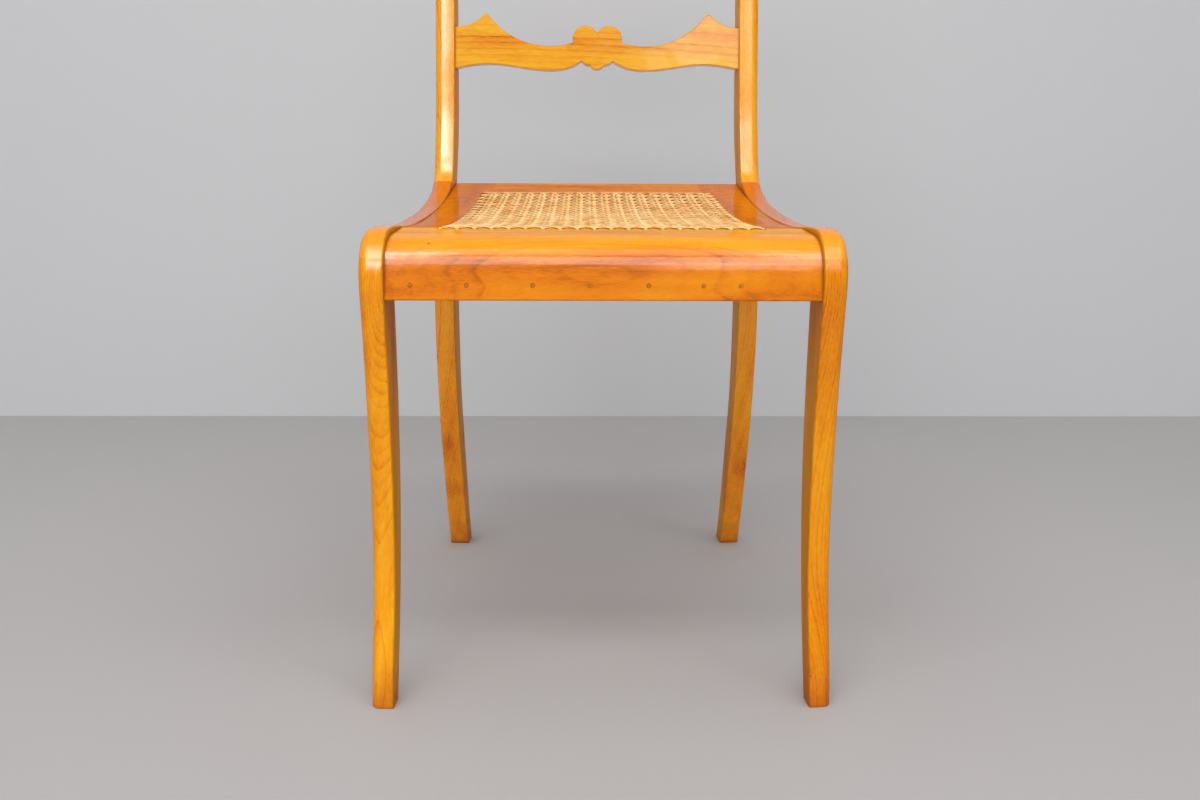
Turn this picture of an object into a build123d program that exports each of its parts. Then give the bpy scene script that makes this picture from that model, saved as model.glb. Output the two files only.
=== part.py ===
from build123d import *

import os
from math import cos, radians, sin, sqrt, tan

# A side chair with sabre legs, side rails that sweep up into the back posts, and a caned seat.
# Millimetres. +X is the right-hand side seen from the front, +Y the back, +Z up.
# Depths count from the front toes. The last step centres the chair over its origin on the floor.

# Whole chair
FRONT_WIDTH = 462.0  # over the outer faces, at the front toes
TOE_IN = 4.26  # degrees by which each side frame turns in towards the back
CHAIR_HEIGHT = 870.0
SEAT_HEIGHT = 464.2  # lowest line of the dished seat
FRAME_THICKNESS = 24.4  # of the side frames: posts, side rails, and front legs at the rail
TENON_FIT = 0.15  # clearance round a tenon in its mortise
TENON_ROOT = 8.0  # how far a tenon's block reaches back into its own rail
OUTER_ROUND = 8.5  # rounding of the outer front arris of legs, posts and side rails
INNER_ROUND = 2.0  # rounding of the other arrises

# Front legs. Outlines are pairs: a share of the height, and the depth behind the toe.
FRONT_LEG_DROP = 12.2  # from the seat down to the leg's top, under the nose of the side rail
FRONT_TOE_THICKNESS = 22.5
FRONT_LEG_FRONT = ((0.0, 0.0), (0.225, 20.0), (0.455, 26.0), (0.68, 19.0), (0.9, 5.5), (1.0, 7.0))
FRONT_LEG_BACK = ((0.0, 25.0), (0.243, 50.0), (0.48, 63.0), (0.733, 64.0), (1.0, 56.0))
LEG_TONGUE_BACK = 48.0  # depth of the tongue that stands up beside the rails
LEG_TENON = (18.0, 40.0)  # depths between which the leg's tenon stands up into the side rail
LEG_TENON_HEIGHT = 12.0

# Side rails. The top edge is pairs: a share of the depth to the post, and the rise over the seat.
SEAT_RAIL_HEIGHT = 52.2  # from the seat's lowest line down to the underside of the rails
SIDE_RAIL_TOP = (
    (0.112, 12.0), (0.31, 4.6), (0.517, 1.4), (0.69, 2.4), (0.78, 4.8), (0.86, 8.6), (0.935, 14.3)
)
SWEEP_RISE = 25.8  # height of the rail's rear end over the seat
SWEEP_SLOPE = 37.0  # degrees at the rear end, where the post carries the curve on
SIDE_TENON_LENGTH = 20.0
SIDE_TENON_HEIGHTS = (34.0, 62.0)  # over the rails' underside
SIDE_TENON_INSETS = (8.0, 17.0)  # from the outer face

# Back posts and rear legs. Setbacks count from the post's front face at the seat.
POST_SETBACK = 418.0  # depth of that face behind the front toe
RAIL_HOUSING = 3.0  # depth to which the side rail's end is let into the post
REAR_LEG_FRONT = ((0.0, 83.0), (0.147, 60.0), (0.294, 39.5), (0.434, 22.0), (0.57, 10.0), (0.82, 0.0))
REAR_LEG_BACK = ((0.0, 111.5), (0.123, 91.0), (0.307, 65.0), (0.426, 49.0), (0.59, 40.0), (0.8, 37.2))
POST_SWEEP_FRONT = ((17.5, 23.0), (23.0, 45.0), (33.5, 98.0))  # setback, and rise over the rail's end
POST_SWEEP_BACK = ((42.0, -2.0), (58.0, 41.0), (68.0, 98.0))
BACK_LEAN = 6.5  # degrees that the upper back leans
POST_TOP_DEPTH = 27.0
POST_TENON = (14.0, 9.0, 24.0)  # depth, thickness and height of the tenon under the crest

# Front rail: the front face is pairs, depth behind the toe and height over the underside
FRONT_RAIL_BACK = 50.0
FRONT_RAIL_FACE = ((5.0, 0.0), (7.5, 20.0), (11.5, 37.5), (20.0, 50.0), (36.0, 56.8))
FRONT_TENON_DEPTHS = (16.0, 28.0)
FRONT_TENON_HEIGHTS = (8.0, 32.0)
FRONT_TENON_LENGTH = 16.0
PLUG_PLACES = (-182.0, -129.0, -67.0, -13.0, 42.0, 94.0, 129.0)  # bored by eye
PLUG_RADIUS = 2.2
PLUG_REACH = 16.0  # depth behind the toe to which the holes were bored
PLUG_HEIGHT = 14.5  # over the rail's underside
PLUG_FIT = 0.05

# Rear rail, hidden under the seat
REAR_RAIL_SETBACK = 7.0  # behind the post's front face
REAR_RAIL_THICKNESS = 20.0
REAR_TENON_HEIGHTS = (7.0, 29.0)
REAR_TENON_THICKNESS = 9.0
REAR_TENON_LENGTH = 13.0

# Seat frame of four boards, dished on top behind a level front board
DISH_RADIUS = 1250.0
DISH_LOW_DEPTH = 220.0
SEAT_BOARD = 16.0  # thickness at the lowest line
SEAT_GAP = 0.4  # open joint line round the frame
SEAT_OVERHANG = 34.0  # from the post's front face to the rear edge of the seat
SEAT_EDGE_ROUND = 3.0
SIDE_BOARD_WIDTH = 49.2
FRONT_BOARD_WIDTH = 48.5
REAR_BOARD_WIDTH = 61.5
BOARD_TENON_THICKNESS = 6.0
BOARD_TENON_RISE = 6.0  # over the boards' underside
FRONT_BOARD_TENON = (16.0, 9.0)  # width and length
REAR_BOARD_TENON = (32.0, 13.0)

# Caning: a ring of holes, and the woven panel that is strung through them
CANE_HOLE_RADIUS = 2.4
CANE_SPACES_ACROSS = 19  # between the holes of the front row, and as many in the narrower back row
CANE_SPACES_DEEP = 19
CANE_MARGIN = 10.5  # from the holes to the inner edge of the boards
CANE_BORDER = 4.0  # cane outside the holes
CANE_THICKNESS = 1.6
CANE_LIFT = 0.25  # room between the cane and the dished boards
CANE_GAP_RADIUS = 4.2

# Corner blocks and the screws through them
BLOCK_SIDE = 42.0
BLOCK_HEIGHT = 30.0
SCREW_RADIUS = 2.0
SCREW_HEAD_RADIUS = 4.0
SCREW_HEAD_HEIGHT = 3.0
SCREW_BITE = 12.0  # depth of the screw in the seat frame
SCREW_FIT = 0.1
SCREW_SETBACK = 14.0  # of the screw from the two rails that the block joins

# Back splat: half outlines, distance from the middle and height over the splat's own centre
SPLAT_BELOW_CREST = 134.0  # from the crest's underside down to the splat's centre
SPLAT_THICKNESS = 18.0
SPLAT_SETBACK = 2.0  # behind the fronts of the posts
SPLAT_END_TOP = 24.5
SPLAT_TIP = (135.0, 40.0)
SPLAT_TIP_ROUND = 4.0
SPLAT_TIP_SLOPES = (51.5, 49.5)  # degrees, on its inner and outer side
SPLAT_DIP = (61.0, 2.0)
SPLAT_SHOULDER = (29.5, 6.0)  # where the dip meets the heart
HEART_LOBE = (14.3, 10.5)  # centre of the heart's lobe
HEART_RADIUS = 15.6
SPLAT_END_BOTTOM = -25.0
SPLAT_ARCH = (130.0, -19.5)
SPLAT_BELLY = (64.0, -27.0)
SPLAT_CUSP = (19.0, -16.0)
SPLAT_STEP = (8.5, -20.8)
SPLAT_DROP = -25.5  # lowest point of the middle drop
SPLAT_BEVEL = 1.0
SPLAT_TENON = (8.0, 32.0, 13.0)  # thickness, height and length

# Crest rail, bowed in plan
CREST_WIDTH = 410.0
CREST_HEIGHT = 88.0
CREST_END_HEIGHT = 70.0
CREST_THICKNESS = 22.0
CREST_BOW = 12.0
CREST_CORNER = 16.0
CREST_ROUND = 3.0

toe = radians(TOE_IN)
lean = radians(BACK_LEAN)
rail_bottom = SEAT_HEIGHT - SEAT_RAIL_HEIGHT
leg_top = SEAT_HEIGHT - FRONT_LEG_DROP
sweep_depth = POST_SETBACK + RAIL_HOUSING
sweep_top = SEAT_HEIGHT + SWEEP_RISE
post_top = CHAIR_HEIGHT - CREST_HEIGHT
splat_height = post_top - SPLAT_BELOW_CREST
seat_underside = SEAT_HEIGHT - SEAT_BOARD
seat_front = FRONT_RAIL_BACK + SEAT_GAP
post_depth = POST_SETBACK * cos(toe)  # of the posts' fronts, square to the chair
seat_back = post_depth + SEAT_OVERHANG
rear_rail_front = post_depth + REAR_RAIL_SETBACK
front_board_back = seat_front + FRONT_BOARD_WIDTH
rear_board_front = seat_back - REAR_BOARD_WIDTH
side_board_outer = FRAME_THICKNESS + SEAT_GAP  # inset from the outer faces of the side frames
side_board_inner = side_board_outer + SIDE_BOARD_WIDTH
cane_inset = side_board_inner - CANE_MARGIN
cane_front = front_board_back - CANE_MARGIN
cane_back = rear_board_front + CANE_MARGIN
RIGHT_SIDE = Plane(
    origin=(FRONT_WIDTH / 2, 0, 0), x_dir=(-sin(toe), cos(toe), 0), z_dir=(cos(toe), sin(toe), 0)
).location


def side_x(depth, inset):
    """X of the plane that lies an inset inside the right-hand outer face, at a depth of the chair."""
    return FRONT_WIDTH / 2 - (inset + depth * sin(toe)) / cos(toe)


def seat_top(depth):
    """Height of the seat at a depth: level over the front board, dished behind it."""
    behind = max(depth, front_board_back) - DISH_LOW_DEPTH
    return SEAT_HEIGHT + DISH_RADIUS - sqrt(DISH_RADIUS**2 - behind**2)


def seat_line(lift=0.0):
    """The seat's top line in depth and height, from front to back, raised by a lift."""
    middle = (front_board_back + seat_back) / 2
    ends = (seat_front, front_board_back, middle, seat_back)
    front, edge, low, back = ((depth, seat_top(depth) + lift) for depth in ends)
    return [Line(front, edge), ThreePointArc(edge, low, back)]


def points(pairs, height, setback=0.0):
    """Outline points from pairs of a share of the height and a depth."""
    return [(setback + depth, share * height) for share, depth in pairs]


def slab(outline, thickness):
    """A board of the side frame, from its outer face inwards."""
    return extrude(make_face(outline), thickness, dir=(0, 0, -1))


def rounded(part, radius, *places):
    """Rounds the edge nearest to each place, with the edges that carry it on."""
    for place in places:
        part = fillet(part.edges().sort_by_distance(place)[0], radius)
    return part


def side_block(depths, heights, insets, grow=0.0, turn=0.0):
    """A block in the right-hand side frame, given by its depths, heights and insets."""
    sizes = [high - low + 2 * grow for low, high in (depths, heights, insets)]
    middle = Pos(sum(depths) / 2, sum(heights) / 2, -sum(insets) / 2)
    return RIGHT_SIDE * (middle * Rot(0, 0, -turn) * Box(*sizes))


def both_sides(part):
    """A right-hand part and its mirror image."""
    return [part, mirror(part, about=Plane.YZ)]


def plan_block(corners, low, high):
    """A block over a plan outline, between two heights."""
    face = make_face(Polyline(*corners, close=True))
    return Pos(0, 0, low) * extrude(face, high - low, dir=(0, 0, 1))


def between_sides(inset, front, back, low=0.0, high=CHAIR_HEIGHT):
    """A block from one side frame to the other, ending an inset inside their outer faces."""
    corners = [(side_x(front, inset), front), (side_x(back, inset), back)]
    corners += [(-x, depth) for x, depth in reversed(corners)]
    return plan_block(corners, low, high)


def across(profile):
    """A bar across the whole chair with a profile of depth and height."""
    return extrude(Plane.YZ * make_face(profile), FRONT_WIDTH / 2, both=True)


def post_front(height):
    """Depth of the post's leaning front edge at a height, in its side frame."""
    setback, rise = POST_SWEEP_FRONT[-1]
    return POST_SETBACK + setback + (height - sweep_top - rise) * tan(lean)


def tenons():
    """The right-hand tenons by name: each is a pair, the tenon and its mortise."""
    side_tenon = SIDE_TENON_INSETS
    root = FRAME_THICKNESS + TENON_ROOT
    rear_middle = POST_SETBACK + REAR_RAIL_SETBACK + REAR_RAIL_THICKNESS / 2
    splat_middle = post_front(splat_height) + SPLAT_SETBACK + SPLAT_THICKNESS / 2
    crest_middle = post_front(post_top) + POST_TOP_DEPTH / 2
    board_low = seat_underside + BOARD_TENON_RISE
    board_heights = (board_low, board_low + BOARD_TENON_THICKNESS)
    rear_board_middle = (rear_board_front + seat_back) / 2 / cos(toe)
    half = REAR_TENON_THICKNESS / 2
    blocks = {
        "leg": (LEG_TENON, (leg_top - TENON_ROOT, leg_top + LEG_TENON_HEIGHT), side_tenon),
        "side_rail": (
            (sweep_depth - TENON_ROOT, sweep_depth + SIDE_TENON_LENGTH),
            tuple(rail_bottom + height for height in SIDE_TENON_HEIGHTS),
            side_tenon,
        ),
        "front_rail": (
            FRONT_TENON_DEPTHS,
            tuple(rail_bottom + height for height in FRONT_TENON_HEIGHTS),
            (FRAME_THICKNESS - FRONT_TENON_LENGTH, root),
        ),
        "rear_rail": (
            (rear_middle - half, rear_middle + half),
            tuple(rail_bottom + height for height in REAR_TENON_HEIGHTS),
            (FRAME_THICKNESS - REAR_TENON_LENGTH, root),
        ),
        "rear_board": (
            (rear_board_middle - REAR_BOARD_TENON[0] / 2, rear_board_middle + REAR_BOARD_TENON[0] / 2),
            board_heights,
            (side_board_inner - REAR_BOARD_TENON[1], side_board_inner + TENON_ROOT),
        ),
        "splat": (
            (splat_middle - SPLAT_TENON[0] / 2, splat_middle + SPLAT_TENON[0] / 2),
            (splat_height - SPLAT_TENON[1] / 2, splat_height + SPLAT_TENON[1] / 2),
            (FRAME_THICKNESS - SPLAT_TENON[2], root),
            BACK_LEAN,
        ),
        "post": (
            (crest_middle - POST_TENON[0] / 2, crest_middle + POST_TENON[0] / 2),
            (post_top - TENON_ROOT, post_top + POST_TENON[2]),
            ((FRAME_THICKNESS - POST_TENON[1]) / 2, (FRAME_THICKNESS + POST_TENON[1]) / 2),
        ),
    }
    pairs = {}
    for name, (depths, heights, insets, *turn) in blocks.items():
        turned = turn[0] if turn else 0.0
        tenon = side_block(depths, heights, insets, 0.0, turned)
        pairs[name] = (tenon, side_block(depths, heights, insets, TENON_FIT, turned))
    middle = (side_x(front_board_back, side_board_outer) + side_x(front_board_back, side_board_inner)) / 2
    width, length = FRONT_BOARD_TENON
    height = board_low + BOARD_TENON_THICKNESS / 2
    for grow in (0.0, TENON_FIT):
        sizes = [size + 2 * grow for size in (width, length + TENON_ROOT, BOARD_TENON_THICKNESS)]
        placed = Pos(middle, front_board_back + (TENON_ROOT - length) / 2, height) * Box(*sizes)
        pairs["front_board"] = (*pairs.get("front_board", ()), placed)
    return pairs


def front_leg(joints):
    """Right-hand front leg: sabre blade, thinner towards the toe, with a tongue up beside the rails."""
    front = points(FRONT_LEG_FRONT, leg_top)
    back = points(FRONT_LEG_BACK, rail_bottom)
    outline = [
        Spline(*front, tangents=((0.05, 1), (0.42, 0.9))),
        Polyline(front[-1], (LEG_TONGUE_BACK, leg_top), (LEG_TONGUE_BACK, rail_bottom), back[-1]),
        Spline(*reversed(back)),
        Line(back[0], front[0]),
    ]
    blade = slab(outline, FRAME_THICKNESS)
    taper = [(0, -FRONT_TOE_THICKNESS), (rail_bottom, -FRAME_THICKNESS), (0, -FRAME_THICKNESS)]
    wedge_plane = Plane(origin=(-TENON_ROOT, 0, 0), x_dir=(0, 1, 0), z_dir=(1, 0, 0))
    wedge = extrude(wedge_plane * make_face(Polyline(*taper, close=True)), POST_SETBACK)
    blade = blade - wedge
    middle = leg_top / 2
    shin = front[2][0]
    calf = back[2][0]
    inner = -FRAME_THICKNESS
    blade = rounded(blade, OUTER_ROUND, (shin, middle, 0))
    blade = rounded(blade, INNER_ROUND, (shin, middle, inner), (calf, middle, 0), (calf, middle, inner))
    leg = RIGHT_SIDE * blade + joints["leg"][0]
    return leg - joints["front_rail"][1]


def side_rail(joints):
    """Right-hand side rail: a rounded nose over the leg, a level run, and a sweep up to the post."""
    nose = (FRONT_LEG_FRONT[-1][1], leg_top)
    top = [(share * POST_SETBACK, SEAT_HEIGHT + rise) for share, rise in SIDE_RAIL_TOP]
    end = (sweep_depth, sweep_top)
    slope = radians(SWEEP_SLOPE)
    outline = [
        Spline(nose, top[0], tangents=((0.42, 0.9), (1, 0))),
        Spline(*top, end, tangents=((1, 0), (cos(slope), sin(slope)))),
        Polyline(end, (sweep_depth, rail_bottom), (LEG_TONGUE_BACK, rail_bottom)),
        Polyline((LEG_TONGUE_BACK, rail_bottom), (LEG_TONGUE_BACK, leg_top), nose),
    ]
    board = slab(outline, FRAME_THICKNESS)
    crown = top[2]
    under = (POST_SETBACK / 2, rail_bottom)
    board = rounded(board, OUTER_ROUND, (*crown, 0))
    inner = -FRAME_THICKNESS
    board = rounded(board, INNER_ROUND, (*crown, inner), (*under, 0), (*under, inner))
    rail = RIGHT_SIDE * board + joints["side_rail"][0]
    return rail - joints["leg"][1]


def back_post(joints):
    """Right-hand back post and rear leg in one: a sabre leg below, a sweep and a leaning post above."""
    leg_front = points(REAR_LEG_FRONT, rail_bottom, POST_SETBACK)
    sweep_front = [(POST_SETBACK + setback, sweep_top + rise) for setback, rise in POST_SWEEP_FRONT]
    sweep_back = [(POST_SETBACK + setback, sweep_top + rise) for setback, rise in POST_SWEEP_BACK]
    leg_back = points(REAR_LEG_BACK, sweep_top, POST_SETBACK)
    top_front = (post_front(post_top), post_top)
    top_back = (post_front(post_top) + POST_TOP_DEPTH, post_top)
    joint = (sweep_depth, sweep_top)
    slope = radians(SWEEP_SLOPE)
    back_run = Vector(*top_back) - Vector(*sweep_back[-1])
    outline = [
        Spline(*leg_front, tangents=((-0.36, 0.93), (0, 1))),
        Polyline(leg_front[-1], (POST_SETBACK, rail_bottom), (sweep_depth, rail_bottom), joint),
        Spline(joint, *sweep_front, tangents=((cos(slope), sin(slope)), (sin(lean), cos(lean)))),
        Polyline(sweep_front[-1], top_front, top_back, sweep_back[-1]),
        Spline(*reversed(leg_back + sweep_back), tangents=(back_run * -1, (0.34, -0.94))),
        Line(leg_back[0], leg_front[0]),
    ]
    board = slab(outline, FRAME_THICKNESS)
    shin = leg_front[2]
    calf = leg_back[2]
    upright = ((sweep_front[-1][0] + top_front[0]) / 2, (sweep_front[-1][1] + post_top) / 2)
    inner = -FRAME_THICKNESS
    board = rounded(board, OUTER_ROUND, (*upright, 0))
    board = rounded(board, INNER_ROUND, *((*spot, side) for spot in (shin, calf) for side in (0, inner)))
    board = rounded(board, INNER_ROUND, (*upright, inner))
    post = RIGHT_SIDE * board + joints["post"][0]
    return post - [joints[name][1] for name in ("side_rail", "rear_rail", "splat")]


def front_rail(joints):
    """Front seat rail with a bull-nosed face, and the plugs of its row of filled holes."""
    face = [(depth, rail_bottom + height) for depth, height in FRONT_RAIL_FACE]
    back_top = (FRONT_RAIL_BACK, seat_top(FRONT_RAIL_BACK))
    profile = [
        Spline(*face, back_top),
        Polyline(back_top, (FRONT_RAIL_BACK, rail_bottom), face[0]),
    ]
    bar = rounded(across(profile), INNER_ROUND, (0, *face[0]))
    rail = bar & between_sides(FRAME_THICKNESS, 0, FRONT_RAIL_BACK)
    plugs = []
    for place in PLUG_PLACES:
        spot = Pos(place, 0, rail_bottom + PLUG_HEIGHT) * Rot(-90, 0, 0)
        plugs.append(extrude(spot * Circle(PLUG_RADIUS), PLUG_REACH) & rail)
        rail = rail - extrude(spot * Circle(PLUG_RADIUS + PLUG_FIT), PLUG_REACH + PLUG_FIT)
    for tenon in both_sides(joints["front_rail"][0]):
        rail = rail + tenon
    return rail, plugs


def rear_rail(joints):
    """Plain rear seat rail between the posts, under the seat frame."""
    back = rear_rail_front + REAR_RAIL_THICKNESS
    rail = between_sides(FRAME_THICKNESS, rear_rail_front, back, rail_bottom, seat_underside)
    for tenon in both_sides(joints["rear_rail"][0]):
        rail = rail + tenon
    return rail


def cane_spot(column, row):
    """Plan position on the cane, counted in spaces from its front left-hand hole."""
    depth = cane_front + (cane_back - cane_front) * row / CANE_SPACES_DEEP
    half = side_x(depth, cane_inset)
    return half * (2 * column / CANE_SPACES_ACROSS - 1), depth


def cane_holes():
    """Plan positions of the caning holes: the front and back rows, then both side rows."""
    columns = range(CANE_SPACES_ACROSS + 1)
    spots = [cane_spot(column, row) for row in (0, CANE_SPACES_DEEP) for column in columns]
    rows = range(1, CANE_SPACES_DEEP)
    return spots + [cane_spot(column, row) for column in (0, CANE_SPACES_ACROSS) for row in rows]


def seat_frame(joints, screw_holes):
    """The four boards of the seat frame, with their tenons and caning holes."""
    top = seat_line()
    under = Polyline(top[0] @ 0, (seat_front, seat_underside), (seat_back, seat_underside), top[1] @ 1)
    block = rounded(across([*top, under]), SEAT_EDGE_ROUND, (0, seat_back, seat_top(seat_back)))
    front = block & between_sides(side_board_outer, seat_front, front_board_back)
    rear = block & between_sides(side_board_inner, rear_board_front, seat_back)
    side_plan = [
        (side_x(depth, inset), depth)
        for depth, inset in (
            (front_board_back, side_board_outer),
            (seat_back, side_board_outer),
            (seat_back, side_board_inner),
            (front_board_back, side_board_inner),
        )
    ]
    side = block & plan_block(side_plan, 0, CHAIR_HEIGHT)
    side = side + joints["front_board"][0] - joints["rear_board"][1]
    front = front - both_sides(joints["front_board"][1])
    for tenon in both_sides(joints["rear_board"][0]):
        rear = rear + tenon
    drill = Cylinder(CANE_HOLE_RADIUS, CHAIR_HEIGHT)
    holes = [Pos(x, depth, seat_underside) * drill for x, depth in cane_holes()]
    right, left = both_sides(side)
    boards = {
        "seat_frame_front": front,
        "seat_frame_rear": rear,
        "seat_frame_right": right,
        "seat_frame_left": left,
    }
    return {name: board - holes - screw_holes for name, board in boards.items()}


def cane_panel():
    """The woven seat as one dished sheet, with the gaps of its weave over the frame's opening."""
    bottom = seat_line(CANE_LIFT)
    top = seat_line(CANE_LIFT + CANE_THICKNESS)
    ends = [Line(bottom[0] @ 0, top[0] @ 0), Line(bottom[1] @ 1, top[1] @ 1)]
    sheet = across([*bottom, *top, *ends])
    edges = (cane_inset - CANE_BORDER, cane_front - CANE_BORDER, cane_back + CANE_BORDER)
    sheet = sheet & between_sides(*edges)
    gap = extrude(Rot(0, 0, 22.5) * RegularPolygon(CANE_GAP_RADIUS, 8), CHAIR_HEIGHT)
    columns = range(1, CANE_SPACES_ACROSS - 1)
    rows = range(1, CANE_SPACES_DEEP - 1)
    cells = [cane_spot(column + 0.5, row + 0.5) for column in columns for row in rows]
    print("cane gaps:", len(cells))
    return sheet - [Pos(*cell) * gap for cell in cells]


def corner_blocks_and_screws():
    """Triangular glue blocks of the right-hand corners, the screws through them, and the screws' holes."""
    blocks, screws, holes = [], [], []
    low = seat_underside - BLOCK_HEIGHT
    for corner, away in ((FRONT_RAIL_BACK, 1), (rear_rail_front, -1)):
        far = corner + away * BLOCK_SIDE
        edge = side_x(corner, FRAME_THICKNESS)
        plan = [(edge, corner), (edge - BLOCK_SIDE, corner), (side_x(far, FRAME_THICKNESS), far)]
        depth = corner + away * SCREW_SETBACK
        place = Pos(side_x(depth, FRAME_THICKNESS) - SCREW_SETBACK, depth, low)
        screw = place * screw_shape(SCREW_RADIUS, SCREW_HEAD_RADIUS, BLOCK_HEIGHT + SCREW_BITE)
        hole = place * screw_shape(
            SCREW_RADIUS + SCREW_FIT, SCREW_HEAD_RADIUS + SCREW_FIT, BLOCK_HEIGHT + SCREW_BITE + SCREW_FIT
        )
        blocks.append(plan_block(plan, low, seat_underside) - hole)
        screws += both_sides(screw)
        holes += both_sides(hole)
    return blocks, screws, holes


def screw_shape(radius, head_radius, length):
    """A countersunk screw, point up, with its head's face at the bottom."""
    shank = [(radius, SCREW_HEAD_HEIGHT), (radius, length - radius)]
    half = Polyline((0, 0), (head_radius, 0), *shank, (0, length), close=True)
    return revolve(Plane.XZ * make_face(half), Axis.Z)


def back_splat(joints):
    """Sawn back rail: rising tips at the ends, a heart above the middle and a small drop below it."""
    end = FRONT_WIDTH / 2
    lobe_x, lobe_z = HEART_LOBE
    notch = (0, lobe_z + sqrt(HEART_RADIUS**2 - lobe_x**2))
    lobe_top = (lobe_x, lobe_z + HEART_RADIUS)
    lobe_side = (lobe_x + HEART_RADIUS, lobe_z)
    post_x = side_x(post_front(splat_height), FRAME_THICKNESS)
    end_top, end_bottom = (post_x, SPLAT_END_TOP), (post_x, SPLAT_END_BOTTOM)
    rise, fall = (radians(slope) for slope in SPLAT_TIP_SLOPES)
    tip_x, tip_z = SPLAT_TIP[0], SPLAT_TIP[1] - SPLAT_TIP_ROUND
    tip_start = (tip_x - SPLAT_TIP_ROUND * sin(rise), tip_z + SPLAT_TIP_ROUND * cos(rise))
    tip_end = (tip_x + SPLAT_TIP_ROUND * sin(fall), tip_z + SPLAT_TIP_ROUND * cos(fall))
    half = [
        RadiusArc(notch, lobe_top, HEART_RADIUS),
        RadiusArc(lobe_top, lobe_side, HEART_RADIUS),
        Line(lobe_side, SPLAT_SHOULDER),
        Spline(SPLAT_SHOULDER, SPLAT_DIP, tip_start, tangents=((1, -0.3), (cos(rise), sin(rise)))),
        RadiusArc(tip_start, tip_end, SPLAT_TIP_ROUND),
        Spline(tip_end, end_top, tangents=((cos(fall), -sin(fall)), (1, 0))),
        Polyline(end_top, (end, SPLAT_END_TOP), (end, SPLAT_END_BOTTOM), end_bottom),
        Spline(end_bottom, SPLAT_ARCH, SPLAT_BELLY, SPLAT_CUSP, tangents=((-1, 0.22), (-0.8, 0.6))),
        Spline(SPLAT_CUSP, SPLAT_STEP, tangents=((-0.6, -0.8), (-1, 0))),
        Spline(SPLAT_STEP, (0, SPLAT_DROP), tangents=((-0.5, -0.85), (-1, 0))),
    ]
    half_face = make_face(half + [Line((0, SPLAT_DROP), notch)])
    face = half_face + mirror(half_face, about=Plane.YZ)
    front = post_front(splat_height) * cos(toe) + SPLAT_SETBACK
    plane = Plane(
        origin=(0, front, splat_height), x_dir=(1, 0, 0), z_dir=(0, -cos(lean), sin(lean))
    )
    board = extrude(plane * face, -SPLAT_THICKNESS)
    board = chamfer(board.faces().sort_by(Axis.Y)[0].edges(), SPLAT_BEVEL)
    board = board & between_sides(FRAME_THICKNESS, 0, CHAIR_HEIGHT)
    for tenon in both_sides(joints["splat"][0]):
        board = board + tenon
    return board


def crest_rail(joints):
    """Top rail on the posts: bowed in plan, arched along its top, leaning with the posts."""
    end = CREST_WIDTH / 2
    front = post_front(post_top) * cos(toe)
    upright = Plane(origin=(0, front, post_top), x_dir=(1, 0, 0), z_dir=(0, -cos(lean), sin(lean)))
    apex = (CREST_HEIGHT + CREST_BOW * sin(lean)) / cos(lean)
    left, right = (-end, CREST_END_HEIGHT), (end, CREST_END_HEIGHT)
    sides = Polyline(left, (-end, -CREST_CORNER), (end, -CREST_CORNER), right)
    outline = make_face([ThreePointArc(left, (0, apex), right), sides])
    corners = [vertex for vertex in outline.vertices() if vertex.Y > 0]
    outline = fillet(corners, CREST_CORNER)
    reach = CREST_BOW + 2 * CREST_THICKNESS
    tablet = extrude(upright * outline, reach, both=True)
    plan = Plane(origin=(0, front, post_top), x_dir=(1, 0, 0), z_dir=(0, sin(lean), cos(lean)))
    near = ThreePointArc((-end, 0), (0, CREST_BOW), (end, 0))
    far = ThreePointArc((-end, CREST_THICKNESS), (0, CREST_BOW + CREST_THICKNESS), (end, CREST_THICKNESS))
    caps = [Line(near @ 0, far @ 0), Line(near @ 1, far @ 1)]
    bowed = extrude(plan * make_face([near, far, *caps]), 2 * CREST_HEIGHT, both=True)
    seat = plan_block(
        [(-end, 0), (end, 0), (end, CHAIR_HEIGHT), (-end, CHAIR_HEIGHT)], post_top, 2 * CHAIR_HEIGHT
    )
    rail = tablet & bowed & seat
    rims = rail.edges().filter_by(lambda edge: edge.center().Z > post_top + CREST_ROUND)
    rail = fillet(rims.filter_by(GeomType.LINE, reverse=True), CREST_ROUND)
    return rail - both_sides(joints["post"][1])


def chair():
    """Every piece of the chair by name."""
    joints = tenons()
    blocks, screws, screw_holes = corner_blocks_and_screws()
    pieces = {"rear_rail": rear_rail(joints), "cane_panel": cane_panel()}
    pieces["front_rail"], plugs = front_rail(joints)
    pieces["front_rail_plugs"] = plugs
    pieces["seat_screws"] = screws
    pieces["back_splat"] = back_splat(joints)
    pieces["crest_rail"] = crest_rail(joints)
    pieces.update(seat_frame(joints, screw_holes))
    pairs = {
        "front_leg": front_leg(joints),
        "side_rail": side_rail(joints),
        "back_post": back_post(joints),
        "corner_block_front": blocks[0],
        "corner_block_rear": blocks[1],
    }
    for name, part in pairs.items():
        pieces[name + "_right"], pieces[name + "_left"] = both_sides(part)
    return pieces


def write(pieces):
    """Centres the chair over its origin and writes one file for each piece."""
    os.makedirs("parts", exist_ok=True)
    shapes = {}
    for name, piece in pieces.items():
        shapes[name] = Compound(children=piece) if isinstance(piece, list) else piece
    boxes = [shape.bounding_box() for shape in shapes.values()]
    middle = (min(box.min.Y for box in boxes) + max(box.max.Y for box in boxes)) / 2
    print("depth to the chair's middle:", round(middle, 3))
    for name, shape in shapes.items():
        export_step(Pos(0, -middle, 0) * shape, f"parts/{name}.step")


write(chair())
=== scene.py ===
# %% [markdown]
# # A cherry side chair with a caned seat
# The construction of this chair is already drawn: every leg, rail and board stands in its place.
# This lesson gives it its looks. We set up the camera, floor and light, mix a French-polished cherry
# for the frame, and weave the cane seat strand by strand. The first step loads the drawn pieces.

# %% Load the frame
import math
import bpy
from mathutils import Matrix, Vector


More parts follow.
